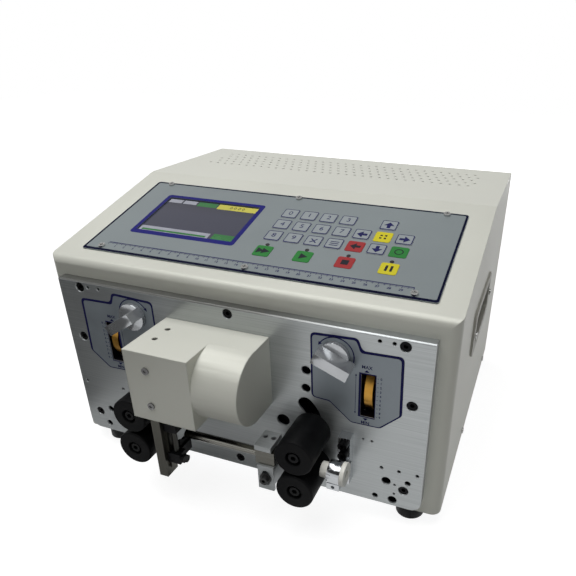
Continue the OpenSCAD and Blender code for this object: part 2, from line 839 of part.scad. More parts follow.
module tube_bracket() {
    color("Gainsboro") in_case() {
        difference() {
            union() {
                slab_y(-50, -47) difference() {
                    translate([42, 29]) square([15, ledge_z - 29]);
                    translate([46, 37.5]) square([7, 9]);
                    for (z = [37.5, 46.5]) translate([49.5, z]) circle(d = 7);
                }
                block(42, 57, -50, -26, ledge_z - 2.2, ledge_z);
                block(43, 56, -47.5, -plate_t, 33, 50);
            }
            rod_y(49.5, 42, 4.2, -51, -33);
            for (x = [43, 51]) rod_z(x, -34, 4.3, ledge_z - 3, ledge_z + 1);
        }
        difference() {
            block(39, 54.5, -48, -26, clamp_z, clamp_z + 5);
            for (x = [43, 51]) rod_z(x, -34, 4.6, clamp_z - 1, clamp_z + 6);
        }
    }
}

ring_d = 20;
ring_x1 = 117.5;

module inlet_holder() {
    color("Gainsboro") in_case() difference() {
        union() {
            rod_x(wire_y, wire_z, ring_d, 106.5, ring_x1);
            block(106.5, ring_x1, wire_y - 8, -18, wire_z - 13, wire_z - 6.5);
            block(105, 116, -plate_t - 10, -plate_t, 30, 80);
        }
        rod_x(wire_y, wire_z, bush_d + 2 * run, 100, 125);
        rod_y(112, wire_z - 10, 3.2, wire_y - 10, wire_y);
        for (z = inlet_screw_z) rod_y(inlet_x, z, 4.2, -plate_t - 11, 1 - plate_t);
    }
}

module inlet_bush() {
    color("White") in_case() difference() {
        union() {
            rod_x(wire_y, wire_z, bush_d, 99.5, ring_x1 + 1);
            rod_x(wire_y, wire_z, ring_d + 0.5, ring_x1, ring_x1 + 4);
        }
        rod_x(wire_y, wire_z, bush_bore, 98, ring_x1 + 5);
    }
}

// Power parts

module power_inlet() {
    color("DimGray") in_case() {
        translate([inlet_pos[0], body_d, inlet_pos[1]]) {
            difference() {
                union() {
                    slab_y(0, bezel_t) round_rect(50, 28, 5);
                    block(-14, 14, -24, 1, -10.5, 10.5);
                }
                block(-12, 12, -15, bezel_t + 1, -8, 8);
            }
            for (x = [-7, 0, 7]) block(x - 2, x + 2, -16, 1, -1, 1);
        }
        translate([rocker_pos[0], body_d, rocker_pos[1]]) difference() {
            union() {
                slab_y(0, bezel_t) round_rect(21, 31, 3);
                block(-7.5, 7.5, -18, 1, -12.8, 12.8);
            }
            block(-6.4, 6.4, -12, bezel_t + 1, -10.9, 10.9);
        }
    }
}

module power_rocker() {
    color("Red") in_case() translate([rocker_pos[0], body_d - 4, rocker_pos[1]]) rotate([-10, 0, 0])
        block(-6, 6, -4, 6.2, -9.5, 9.5);
}

supply_w = 86;
supply_x = wall + 12 - half_w;
board_x0 = supply_x + supply_w + 36;
board_x1 = half_w - wall - 64;
board_mid = (board_x0 + board_x1) / 2;

module power_unit() {
    color("Gray") in_case() {
        block(supply_x, supply_x + supply_w, 110, 270, wall, wall + 42);
        for (x = [board_x0 + 8, board_x1 - 8]) for (y = [138, 272]) rod_z(x, y, 7, wall, 14.5);
        block(board_x0, board_x1, 130, 280, 14, 15.6);
        block(board_mid - 55, board_mid + 15, 215, 250, 15.5, 34);
        for (x = [board_x0 + 20, board_mid + 35, board_mid + 60]) rod_z(x, 160, 18, 15.5, 40);
        block(board_mid - 35, board_mid + 5, 150, 185, 15.5, 19);
    }
}

base_pan();
rubber_feet();
housing_cover();
rear_panel();
case_screws();
side_handles();
front_plate();
socket_screws();
keypad_overlay();
display_module();
cutter_cover();
cutter_frame();
stepper_motors();
tube_bracket();
guide_tube();
inlet_holder();
inlet_bush();
power_inlet();
power_unit();
left_lower_roller();
left_upper_roller();
right_lower_roller();
right_upper_roller();
left_lower_shaft();
left_upper_shaft();
right_lower_shaft();
right_upper_shaft();
left_swing_arm();
right_swing_arm();
left_lift_knob();
right_lift_knob();
left_gap_wheel();
right_gap_wheel();
upper_blade_carrier();
lower_blade_carrier();
lead_screw();
power_rocker();
for (k = keys) panel_key(k);
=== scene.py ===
"""Looks of the wire cutting and stripping machine: finishes, printed panel, scale labels, studio."""
import json
import math

import bmesh
import bpy
from mathutils import Matrix, Vector
from mathutils.geometry import tessellate_polygon


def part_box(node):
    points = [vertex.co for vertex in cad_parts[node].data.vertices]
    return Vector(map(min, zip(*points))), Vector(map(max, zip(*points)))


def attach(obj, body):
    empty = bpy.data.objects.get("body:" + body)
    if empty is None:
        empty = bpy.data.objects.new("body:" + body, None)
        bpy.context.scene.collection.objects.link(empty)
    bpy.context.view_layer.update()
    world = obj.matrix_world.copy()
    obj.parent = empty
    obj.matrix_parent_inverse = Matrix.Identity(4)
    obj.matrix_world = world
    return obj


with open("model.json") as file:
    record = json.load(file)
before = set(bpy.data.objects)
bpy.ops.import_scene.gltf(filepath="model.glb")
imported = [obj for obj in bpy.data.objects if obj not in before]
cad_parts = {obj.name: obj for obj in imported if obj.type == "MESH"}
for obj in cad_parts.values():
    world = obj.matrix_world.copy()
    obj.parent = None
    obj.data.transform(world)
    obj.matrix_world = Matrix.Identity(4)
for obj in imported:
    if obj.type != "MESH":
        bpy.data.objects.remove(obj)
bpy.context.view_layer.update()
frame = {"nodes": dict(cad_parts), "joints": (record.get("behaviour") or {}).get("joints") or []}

NODES = frame["nodes"]
MM = 0.001
X_AXIS = Vector((1, 0, 0))
Z_AXIS = Vector((0, 0, 1))

# Keypad sheet, in mm on the panel: its edges, its thickness and the display window
PAD_LOW, PAD_HIGH = 20.6, 153.0
PAD_LEFT, PAD_RIGHT = -171.2, 173.6
PAD_TOP = 1.0
WINDOW = (-137.5, 60.0, -31.5, 124.0)
SCREEN_TOP = -0.1
KEY_TOP = 1.25
KEY_SIZE = 16.0

# Lift knobs and thumbwheel windows, in mm on the plate, right side
KNOB_X, KNOB_Z = 98.5, 155.0
WHEEL_X, WHEEL_Z = 127.4, 121.2
WHEEL_WINDOW = (12.4, 42.0)

# How far a print reaches above and below the face that it lies on
PRINT = 0.05


# Faces to draw on

class Face:
    """A flat face of the part: right, up and out of it, in mm from an origin."""

    def __init__(self, origin, right, up):
        self.origin, self.right, self.up = origin, right, up
        self.out = right.cross(up)

    def at(self, a, b, h):
        return self.origin + (self.right * a + self.up * b + self.out * h) * MM

    def matrix(self, a, b, h):
        """Takes a drawing in mm to this face, with its middle at a, b and h above it."""
        axes = Matrix((self.right, self.up, self.out)).transposed() * MM
        return Matrix.Translation(self.at(a, b, h)) @ axes.to_4x4()


def panel_face():
    """The slope under the keypad: a across, b up the slope from the lip, h from the sheet metal."""
    press = next(j for j in frame["joints"] if j["name"] == "key_0_press")
    out = -Vector(press["axis"]).normalized()
    up = Vector((0, out.z, -out.y))
    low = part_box("keypad_overlay")[0]
    origin = Vector((0, low.y - (PAD_LOW * up.y + PAD_TOP * out.y) * MM, low.z - PAD_LOW * up.z * MM))
    return Face(origin, X_AXIS, up)


PANEL = panel_face()
CASE_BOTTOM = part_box("housing_cover")[0].z
PLATE = Face(Vector((0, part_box("front_plate")[0].y, CASE_BOTTOM)), X_AXIS, Z_AXIS)


# Outlines, as lists of (a, b) in mm, anticlockwise

def arc(a, b, radius, start, end, steps):
    angles = [math.radians(start + (end - start) * i / steps) for i in range(steps + 1)]
    return [(a + radius * math.cos(t), b + radius * math.sin(t)) for t in angles]


def disc(a, b, radius, steps=28):
    return arc(a, b, radius, 0, 360, steps)[:-1]


def rect(a0, b0, a1, b1):
    return [(a0, b0), (a1, b0), (a1, b1), (a0, b1)]


def round_rect(a0, b0, a1, b1, radius, steps=5):
    corners = [(a1 - radius, b1 - radius, 0), (a0 + radius, b1 - radius, 90),
               (a0 + radius, b0 + radius, 180), (a1 - radius, b0 + radius, 270)]
    return [p for a, b, start in corners for p in arc(a, b, radius, start, start + 90, steps)]


def arc_band(a, b, inner, outer, start, end, steps=24):
    return arc(a, b, outer, start, end, steps) + arc(a, b, inner, end, start, steps)


def moved(outline, a, b):
    return [(p + a, q + b) for p, q in outline]


def turned(outline, degrees):
    c, s = math.cos(math.radians(degrees)), math.sin(math.radians(degrees))
    return [(c * p - s * q, s * p + c * q) for p, q in outline]


def with_neighbours(corners):
    """Each corner of a polygon with the one before it and the one after it."""
    points = [Vector(p) for p in corners]
    return zip(points, points[-1:] + points[:-1], points[1:] + points[:1])


def inset(corners, distances):
    """The polygon with each side moved inwards by its own distance."""
    result = []
    for i, (here, before, after) in enumerate(with_neighbours(corners)):
        d0, d1 = (here - before).normalized(), (after - here).normalized()
        n0, n1 = Vector((-d0.y, d0.x)), Vector((-d1.y, d1.x))
        near, far, turn = distances[i - 1], distances[i], n0.dot(n1)
        share = 1 - turn * turn
        result.append(tuple(here + n0 * ((near - turn * far) / share) + n1 * ((far - turn * near) / share)))
    return result


def rounded(corners, radius, steps=5):
    """The polygon with its corners rounded, inner ones too, by less than half of each side."""
    result = []
    for here, before, after in with_neighbours(corners):
        d0, d1 = (before - here).normalized(), (after - here).normalized()
        half = d0.angle(d1) / 2
        reach = min(radius / math.tan(half), 0.45 * (before - here).length, 0.45 * (after - here).length)
        p0, p1 = here + d0 * reach, here + d1 * reach
        for k in range(steps + 1):
            t = k / steps
            result.append(tuple(p0 * (1 - t) ** 2 + here * 2 * t * (1 - t) + p1 * t ** 2))
    return result


# Thin sheets and prints

def new_object(name, data):
    item = bpy.data.objects.new(name, data)
    bpy.context.scene.collection.objects.link(item)
    return item


def mesh_object(name, shape, material):
    """A shape as an object of one material."""
    data = bpy.data.meshes.new(name)
    shape.to_mesh(data)
    shape.free()
    data.materials.append(material)
    return new_object(name, data)


class Sheet:
    """Closed thin plates and lettering on one face, between two heights, joined into one piece."""

    def __init__(self, face, low, high):
        self.face, self.low, self.high = face, low, high
        self.mesh = bmesh.new()

    def rim(self, outline, height):
        return [self.mesh.verts.new(self.face.at(a, b, height)) for a, b in outline]

    def plate(self, outline, *holes):
        loops = [outline, *holes]
        rims = [[self.rim(loop, height) for loop in loops] for height in (self.high, self.low)]
        flat = [[Vector((a, b, 0)) for a, b in loop] for loop in loops]
        for rim in rims:
            points = [v for loop in rim for v in loop]
            for triangle in tessellate_polygon(flat):
                self.mesh.faces.new([points[i] for i in triangle])
        for top, bottom in zip(*rims):
            for i in range(len(top)):
                self.mesh.faces.new((top[i - 1], top[i], bottom[i], bottom[i - 1]))

    def text(self, string, a, b, size, bold=0.0):
        curve = bpy.data.curves.new("lettering", "FONT")
        curve.body, curve.size, curve.resolution_u, curve.offset = string, size, 3, bold
        curve.align_x, curve.align_y = "CENTER", "CENTER"
        curve.extrude = (self.high - self.low) / 2
        holder = new_object("lettering", curve)
        depsgraph = bpy.context.evaluated_depsgraph_get()
        letters = bpy.data.meshes.new_from_object(holder.evaluated_get(depsgraph))
        letters.transform(self.face.matrix(a, b, (self.low + self.high) / 2))
        self.mesh.from_mesh(letters)
        bpy.data.objects.remove(holder)
        bpy.data.curves.remove(curve)
        bpy.data.meshes.remove(letters)

    def piece(self, name, body, slot, material):
        """Ends the sheet: it becomes a piece that rides on a body."""
        bmesh.ops.remove_doubles(self.mesh, verts=self.mesh.verts, dist=1e-7)
        bmesh.ops.recalc_face_normals(self.mesh, faces=self.mesh.faces)
        piece = mesh_object(name, self.mesh, material)
        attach(piece, body)


# Node trees

def arithmetic(tree, operation, *values):
    """One step of arithmetic on numbers and outputs."""
    node = tree.nodes.new("ShaderNodeMath")
    node.operation = operation
    for socket, value in zip(node.inputs, values):
        if isinstance(value, (int, float)):
            socket.default_value = value
        else:
            tree.links.new(value, socket)
    return node.outputs[0]


def scaled(tree, factor, low, high, start=0.0, end=1.0):
    """An output's stretch from start to end spread over low to high."""
    node = tree.nodes.new("ShaderNodeMapRange")
    for socket, value in zip(("From Min", "From Max", "To Min", "To Max"), (start, end, low, high)):
        node.inputs[socket].default_value = value
    tree.links.new(factor, node.inputs["Value"])
    return node.outputs["Result"]


class Finish:
    """A node material. Patterns are in metres of the row frame, so they lie true on every piece."""

    def __init__(self, name, roughness, metallic=0.0, specular=0.5):
        self.material = bpy.data.materials.new(name)
        self.material.use_nodes = True
        self.tree = self.material.node_tree
        self.shader = self.tree.nodes["Principled BSDF"]
        self.set("Roughness", roughness)
        self.set("Metallic", metallic)
        self.set("Specular IOR Level", specular)
        self.place = self.add("ShaderNodeTexCoord").outputs["Object"]
        self.normal = None

    def set(self, socket, value):
        self.shader.inputs[socket].default_value = value

    def add(self, kind, **settings):
        node = self.tree.nodes.new(kind)
        for key, value in settings.items():
            setattr(node, key, value)
        return node

    def link(self, output, target):
        self.tree.links.new(output, target)

    def noise(self, per_metre, detail=4.0, stretch=(1, 1, 1)):
        """A cloud pattern with that many features per metre, drawn out along some axes."""
        mapping = self.add("ShaderNodeMapping")
        mapping.inputs["Scale"].default_value = [per_metre * s for s in stretch]
        self.link(self.place, mapping.inputs["Vector"])
        noise = self.add("ShaderNodeTexNoise")
        noise.inputs["Scale"].default_value = 1.0
        noise.inputs["Detail"].default_value = detail
        self.link(mapping.outputs["Vector"], noise.inputs["Vector"])
        return noise.outputs["Fac"]

    def between(self, factor, low, high, start=0.3, end=0.7):
        """The pattern's middle stretch spread over low to high."""
        return scaled(self.tree, factor, low, high, start, end)

    def compute(self, operation, *values):
        return arithmetic(self.tree, operation, *values)

    def blend(self, factor, first, second):
        """Colour between two colours, each given by its values or as an output."""
        mix = self.add("ShaderNodeMix", data_type="RGBA")
        self.link(factor, mix.inputs["Factor"])
        for socket, colour in zip([s for s in mix.inputs if s.type == "RGBA"], (first, second)):
            if isinstance(colour, tuple):
                socket.default_value = (*colour, 1)
            else:
                self.link(colour, socket)
        return next(s for s in mix.outputs if s.type == "RGBA")

    def coat(self, colour):
        self.link(colour, self.shader.inputs["Base Color"])

    def colours(self, factor, first, second, start=0.3, end=0.7):
        mixed = self.blend(self.between(factor, 0, 1, start, end), first, second)
        self.coat(mixed)
        return mixed

    def axes(self):
        """Outputs X, Y and Z of the place."""
        node = self.add("ShaderNodeSeparateXYZ")
        self.link(self.place, node.inputs[0])
        return node.outputs

    def inside(self, low, high, soft=0.0006):
        """1 in a box of the row frame, fading to 0 at its faces."""
        axes = self.axes()
        result = None
        for axis, start, end in zip("XYZ", low, high):
            for edge, ends in ((start, (0, 1)), (end, (1, 0))):
                ramp = self.between(axes[axis], *ends, edge - soft / 2, edge + soft / 2)
                result = self.compute("MULTIPLY", result, ramp) if result else ramp
        return result

    def rough(self, factor, low, high):
        self.link(self.between(factor, low, high), self.shader.inputs["Roughness"])

    def soft_edges(self, radius):
        """Broken edges, shaded as rounded by a radius in mm. Comes before bump."""
        node = self.add("ShaderNodeBevel", samples=6)
        node.inputs["Radius"].default_value = radius * MM
        self.normal = node.outputs["Normal"]

    def bump(self, *layers):
        """Layers of (pattern, depth in metres)."""
        for pattern, depth in layers:
            node = self.add("ShaderNodeBump")
            node.inputs["Distance"].default_value = depth
            self.link(pattern, node.inputs["Height"])
            if self.normal:
                self.link(self.normal, node.inputs["Normal"])
            self.normal = node.outputs["Normal"]
        self.link(self.normal, self.shader.inputs["Normal"])


# Finishes

# Depth in metres of fine grain and of the fainter marks over it
GRAIN = 0.00003
MARKS = 0.00002
# A metre out, which is past every face of the part
FAR = 1.0

# Plate, in mm: depth of hole walls that stays bright above their painted shade, bright margin along its
# sides, depth of its top edge's painted shade
HOLE_LIP, PLATE_MARGIN, EDGE_SHADE_DEPTH = 1.9, 2.0, 1.3
# Where the top edge's painted shade gives way to bright alloy, and over which length
EDGE_SHADE_END, EDGE_SHADE_FADE = 75.0, 90.0
# Painted shade inside a thumbwheel window, in mm: how far past its sides, from which depth, and how deep
WINDOW_SHADE_PAST, WINDOW_SHADE_FROM, WINDOW_SHADE_DEPTH = 0.5, 0.4, 40.0
# Painted shade: near black for the walls of the plate's holes and thumbwheel windows
HOLE_PAINTED_SHADE = (0.006, 0.006, 0.012)
# Painted shade: darker alloy for the left of the plate's top edge
EDGE_PAINTED_SHADE = (0.17, 0.172, 0.164)

# Tones of the screws in two pieces, and how far round a piece's box its screws reach, in mm
SCREW_TONES = {"cutter_cover": 0.2, "tube_bracket": 0.07}
SCREW_REACH = Vector((6, 12, 3))

# Holder block at the guide tube's right end, crown of the knobs' polish, dusk on the display, in mm
HOLDER_LENGTH = 18.0
CROWN_RADIUS = 44.0
DUSK_START, DUSK_FADE = 12.0, 45.0


def shade(colour, factor):
    return tuple(min(1.0, c * factor) for c in colour)


def satin(name, colour, roughness, metallic=0.0, specular=0.5, spread=0.05, cloud=18):
    """Even moulded, painted or printed surface: soft clouds of tone, a fine grain."""
    f = Finish(name, roughness, metallic, specular)
    clouds, fine = f.noise(cloud), f.noise(1500, 2.0)
    f.colours(clouds, shade(colour, 1 - spread), shade(colour, 1 + spread))
    f.rough(clouds, roughness - 0.05, roughness + 0.06)
    f.bump((fine, GRAIN))
    return f.material


def brushed(name, colour, roughness, stretch, metallic=1.0):
    """Metal with fine lines along one axis, the one whose stretch is small."""
    f = Finish(name, roughness, metallic)
    streaks, clouds = f.noise(900, 3.0, stretch), f.noise(7, 3.0)
    f.colours(streaks, shade(colour, 0.9), shade(colour, 1.1), 0.25, 0.75)
    f.rough(clouds, roughness - 0.06, roughness + 0.08)
    f.bump((streaks, GRAIN))
    return f.material


def plate_alloy():
    """Alloy brushed lengthways, with painted shade in its holes and windows and on the left of its top
    edge.
    """
    f = Finish("plate_alloy_brushed", 0.36, 0.72)
    streaks, marks = f.noise(900, 3.0, (0.008, 1, 1)), f.noise(330, 2.0, (0.012, 1, 1))
    clouds = f.noise(7, 3.0)
    tone = f.colours(streaks, (0.355, 0.375, 0.38), (0.475, 0.497, 0.5), 0.25, 0.75)
    low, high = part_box("front_plate")
    margin, lip = PLATE_MARGIN * MM, HOLE_LIP * MM
    # Painted shade: hole walls deeper than the lip turn near black
    holes = f.inside((low.x + margin, low.y + lip, low.z + margin),
                     (high.x - margin, high.y + lip, high.z - margin))
    tone = f.blend(holes, tone, HOLE_PAINTED_SHADE)
    # Painted shade inside both thumbwheel windows, a little past their sides and behind the front face
    half_w, half_h = WHEEL_WINDOW[0] / 2 + WINDOW_SHADE_PAST, WHEEL_WINDOW[1] / 2 + WINDOW_SHADE_PAST
    for side in (-1, 1):
        near = PLATE.at(side * WHEEL_X - half_w, WHEEL_Z - half_h, -WINDOW_SHADE_FROM)
        deep = PLATE.at(side * WHEEL_X + half_w, WHEEL_Z + half_h, -WINDOW_SHADE_FROM - WINDOW_SHADE_DEPTH)
        tone = f.blend(f.inside(near, deep), tone, HOLE_PAINTED_SHADE)
    # Painted shade on the left of the plate's top edge, fading out towards the right
    top_edge = f.inside((-FAR, -FAR, high.z - EDGE_SHADE_DEPTH * MM), (FAR, FAR, FAR))
    left_part = f.inside((-FAR, -FAR, -FAR), (EDGE_SHADE_END * MM, FAR, FAR), EDGE_SHADE_FADE * MM)
    f.coat(f.blend(f.compute("MULTIPLY", top_edge, left_part), tone, EDGE_PAINTED_SHADE))
    f.rough(clouds, 0.29, 0.42)
    f.soft_edges(1.1)
    f.bump((streaks, GRAIN), (marks, MARKS))
    return f.material


def screw_steel():
    """Black screws, with dark steel ones in the cutter cover and the tube's bracket."""
    f = Finish("socket_screw_steel", 0.4, 0.85, 0.2)
    clouds = f.noise(90)
    steel = f.colours(clouds, (0.007, 0.007, 0.008), (0.012, 0.012, 0.013))
    for name, tone in SCREW_TONES.items():
        low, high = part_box(name)
        around = f.inside(low - SCREW_REACH * MM, high + SCREW_REACH * MM)
        steel = f.blend(around, steel, (tone, tone, tone))
    f.coat(steel)
    f.rough(clouds, 0.34, 0.46)
    return f.material


def drawn_tube():
    """Drawn steel along the wire, darker and milled on the holder block at its right end."""
    f = Finish("guide_tube_drawn", 0.2, 1.0)
    streaks, clouds = f.noise(900, 3.0, (0.03, 1, 1)), f.noise(7, 3.0)
    steel = f.colours(streaks, (0.24, 0.235, 0.21), (0.31, 0.305, 0.275), 0.25, 0.75)
    low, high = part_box("guide_tube")
    block = f.inside((high.x - HOLDER_LENGTH * MM, low.y, low.z - MM), high + Vector((MM, MM, MM)))
    f.coat(f.blend(block, steel, (0.1, 0.098, 0.085)))
    f.rough(clouds, 0.16, 0.28)
    f.bump((streaks, GRAIN))
    return f.material


def case_paint(name, tone, edge):
    """Warm pale metallic coat with a fine lengthways grain."""
    f = Finish(name, 0.46, 0.12, 0.3)
    clouds, grain, streaks = f.noise(6, 3.0), f.noise(1600, 2.0), f.noise(700, 2.0, (0.02, 1, 1))
    f.colours(clouds, shade(tone, 0.967), shade(tone, 1.033))
    f.rough(clouds, 0.38, 0.46)
    f.soft_edges(edge)
    f.bump((grain, GRAIN), (streaks, MARKS))
    return f.material


def rubber(name, colour):
    """Ground rubber: matt, with faint dust and fine grinding marks."""
    f = Finish(name, 0.5, 0.0, 0.08)
    dust, fine = f.noise(120, 6.0), f.noise(2600, 3.0, (1, 0.25, 1))
    f.colours(dust, colour, shade(colour, 1.7), 0.45, 0.8)
    f.rough(dust, 0.44, 0.6)
    f.bump((fine, 2 * GRAIN))
    return f.material


def chrome(name, metallic=1.0):
    """Bright plating with faint smears."""
    f = Finish(name, 0.16, metallic)
    smears, fine = f.noise(45, 2.0), f.noise(700, 2.0, (1, 1, 0.08))
    f.colours(smears, (0.43, 0.445, 0.46), (0.5, 0.515, 0.53))
    f.rough(smears, 0.14, 0.21)
    f.bump((fine, 0.000004))
    return f


def knob_chrome():
    """Plating of the lift knobs, whose flat faces shine as if crowned a little round the spindle."""
    f = chrome("knob_chrome_plating", 0.72)
    axes = f.axes()
    across = f.compute("SUBTRACT", f.compute("ABSOLUTE", axes["X"]), KNOB_X * MM)
    up = f.compute("SUBTRACT", axes["Z"], CASE_BOTTOM + KNOB_Z * MM)
    square = f.compute("ADD", f.compute("MULTIPLY", across, across), f.compute("MULTIPLY", up, up))
    f.bump((f.compute("MULTIPLY", square, -0.5 / (CROWN_RADIUS * MM)), 1.0))
    return f.material


def brass():
    """Turned brass with some tarnish."""
    f = Finish("wheel_brass_turned", 0.32, 1.0)
    tarnish, turning = f.noise(140, 5.0), f.noise(1800, 2.0, (1, 0.03, 0.03))
    f.colours(tarnish, (0.38, 0.19, 0.03), (0.5, 0.27, 0.055))
    f.rough(tarnish, 0.24, 0.38)
    f.bump((turning, GRAIN))
    return f.material


def film(name, colour):
    """Printed polyester film with its fine matt texture."""
    f = Finish(name, 0.42, 0.0, 0.24)
    clouds, fine = f.noise(11, 3.0), f.noise(2200, 2.0)
    f.colours(clouds, shade(colour, 0.95), shade(colour, 1.05))
    f.rough(fine, 0.36, 0.5)
    f.bump((fine, GRAIN))
    return f.material


def screen_glass():
    """Dark display under a glossy window, paler towards its lower edge, with the faint mesh of its dots."""
    f = Finish("display_screen", 0.2, 0.0, 0.35)
    clouds, mesh = f.noise(14, 2.0), f.noise(3000, 0.0)
    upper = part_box("display_module")[1].y
    dusk = f.inside((-FAR, -FAR, -FAR), (FAR, upper - DUSK_START * MM, FAR), DUSK_FADE * MM)
    dark = f.colours(clouds, (0.013, 0.014, 0.017), (0.02, 0.021, 0.026))
    f.coat(f.blend(dusk, dark, (0.048, 0.05, 0.078)))
    f.rough(mesh, 0.16, 0.26)
    f.set("Coat Weight", 0.1)
    f.set("Coat Roughness", 0.08)
    return f.material


def ink(name, colour, specular=0.1, spread=0.12):
    """Printing ink on film."""
    return satin(name, colour, 0.5, specular=specular, spread=spread, cloud=60)


def screen_colour(name, colour, spread=0.06):
    """A lit field of the display."""
    return satin(name, colour, 0.25, spread=spread, cloud=60)


# By material slot of the part
FINISHES = {
    "case_paint": case_paint("case_paint_coat", (0.678, 0.683, 0.613), 0.8),
    "handle_plastic": satin("handle_plastic_moulded", (0.5, 0.49, 0.44), 0.5),
    "plate_alloy": plate_alloy(),
    "zinc_steel": brushed("zinc_steel_sheet", (0.5, 0.52, 0.54), 0.4, (1, 0.05, 1), 0.9),
    "bright_chrome": chrome("bright_chrome_plating").material,
    "black_oxide": satin("black_oxide_skin", (0.007, 0.007, 0.008), 0.5,
                         specular=0.12, spread=0.25, cloud=90),
    "black_rubber": rubber("black_rubber_ground", (0.0026, 0.0028, 0.0032)),
    "overlay_film": film("overlay_film_print", (0.232, 0.264, 0.272)),
    "display_glass": screen_glass(),
    "motor_paint": satin("motor_paint_lacquer", (0.05, 0.05, 0.055), 0.4),
    "bush_plastic": satin("bush_plastic_turned", (0.95, 0.94, 0.87), 0.36, spread=0.04, cloud=60),
    "socket_plastic": satin("socket_plastic_moulded", (0.025, 0.025, 0.027), 0.34),
    "rocker_plastic": satin("rocker_plastic_moulded", (0.5, 0.035, 0.03), 0.3),
    "board_laminate": satin("board_laminate_green", (0.05, 0.2, 0.09), 0.4),
    "wheel_brass": brass(),
    "key_light": film("key_light_print", (0.295, 0.326, 0.34)),
    "key_green": film("key_green_print", (0.01, 0.19, 0.024)),
    "key_red": film("key_red_print", (0.33, 0.016, 0.018)),
    "key_yellow": film("key_yellow_print", (0.66, 0.58, 0.012)),
}
KNOB_CHROME = knob_chrome()
# By node, for pieces that differ from others of their slot
NODE_FINISHES = {
    # Painted light: the cutter cover gets a paler copy of the case paint, which brightens its top
    "cutter_cover": case_paint("cover_paint_painted_light", (0.725, 0.73, 0.655), 1.6),
    "guide_tube": drawn_tube(),
    "left_lift_knob": KNOB_CHROME,
    "right_lift_knob": KNOB_CHROME,
    "socket_screws": screw_steel(),
    "case_screws": brushed("case_screw_nickel", (0.56, 0.56, 0.55), 0.16, (1, 0.2, 1)),
    "tube_bracket": brushed("tube_bracket_satin", (0.43, 0.45, 0.455), 0.42, (0.05, 1, 1), 0.55),
    "cutter_frame": brushed("cutter_frame_ground", (0.075, 0.073, 0.062), 0.34, (1, 1, 0.03), 0.9),
    "lead_screw": brushed("lead_screw_oiled", (0.04, 0.04, 0.036), 0.3, (1, 1, 0.03), 0.9),
    "rubber_feet": rubber("rubber_feet_moulded", (0.032, 0.032, 0.033)),
}
INK_NAVY = ink("ink_navy", (0.011, 0.011, 0.085))
INK_BORDER = ink("ink_border", (0.002, 0.003, 0.021), specular=0.03)
INK_BLUE = ink("ink_blue", (0.012, 0.012, 0.15))
INK_DARK = ink("ink_dark", (0.012, 0.013, 0.02), specular=0.12, spread=0.15)
LABEL_FILM = satin("label_film", (0.275, 0.31, 0.34), 0.42, 0.35, spread=0.06, cloud=40)
LAMP_LENS = satin("lamp_lens", (0.015, 0.012, 0.014), 0.12, spread=0.2, cloud=300)
SCREEN_GREY = screen_colour("screen_grey", (0.36, 0.37, 0.43))
SCREEN_GREEN = screen_colour("screen_green", (0.014, 0.16, 0.03), spread=0.08)
SCREEN_YELLOW = screen_colour("screen_yellow", (0.6, 0.55, 0.07))

# Softened edges in mm, and the least turn in degrees of an edge that is softened
EDGE_WIDTHS = {
    "front_plate": 0.1, "cutter_cover": 0.3, "left_lift_knob": 0.45, "right_lift_knob": 0.45,
    "inlet_holder": 0.4, "inlet_bush": 0.5, "tube_bracket": 0.4, "cutter_frame": 0.4, "side_handles": 0.5,
    "upper_blade_carrier": 0.15, "lower_blade_carrier": 0.15, "left_upper_roller": 0.6,
    "right_upper_roller": 0.6, "left_lower_roller": 0.6, "right_lower_roller": 0.6, "rubber_feet": 0.8,
    "power_rocker": 0.5, "guide_tube": 0.25,
}
SHARP_EDGE = 38


def dress_nodes():
    """Finishes and softened edges of the part's own nodes."""
    for name, node in NODES.items():
        slot = node.material_slots[0]
        slot.material = NODE_FINISHES.get(name) or FINISHES[slot.material.name.split(".")[0]]
    for name, width in EDGE_WIDTHS.items():
        node = NODES[name]
        node.modifiers.new("join", "WELD").merge_threshold = 1e-6
        bevel = node.modifiers.new("edges", "BEVEL")
        bevel.width, bevel.segments = width * MM, 2
        bevel.limit_method, bevel.angle_limit = "ANGLE", math.radians(SHARP_EDGE)
        bevel.harden_normals = True


# Keypad prints, in mm on the panel

# How far the film hangs over the sheet's lower edge and lies on the sheet there, and its corner radius
PAD_FLAP, PAD_LAP, PAD_ROUND = 2.2, 6.0, 2.5
# Border: distance from the film's edge, width, width along the lower edge, radius of its inner corners
BORDER_EDGE, BORDER_WIDTH, BORDER_LOWER, BORDER_ROUND = 0.3, 2.1, 3.15, 1.6
# Display frame: width left of the window, below, right of and above it, and corner radius
FRAME_WIDTHS = (4.4, 6.2, 5.0, 4.6)
FRAME_ROUND = 3.5
# Ruler: its start, length and height on the panel, and the width of its line
RULER_START, RULER_LENGTH, RULER_B, RULER_LINE = -149.2, 300, 33.0, 0.8
# Ticks: every so many mm, their length and half their width
TICKS = ((10, 3.0, 0.28), (5, 2.3, 0.28), (1, 1.5, 0.18))
# Ruler numbers: how far below the line, size and boldness
NUMBER_DROP, NUMBER_SIZE, NUMBER_BOLD = 5.4, 3.6, 0.09
# Lamp lenses over the function keys: place up the slope, radius, height over the sheet
FUNCTION_KEYS = ("key_resume", "key_start", "key_stop", "key_halt")
LAMP_ROW, LAMP_RADIUS, LAMP_RISE = 63.3, 2.0, 0.3
# How far the display's fields reach into its glass
SCREEN_SINK = 0.02


def pad_sheet():
    return Sheet(PANEL, PAD_TOP - PRINT, PAD_TOP + PRINT)


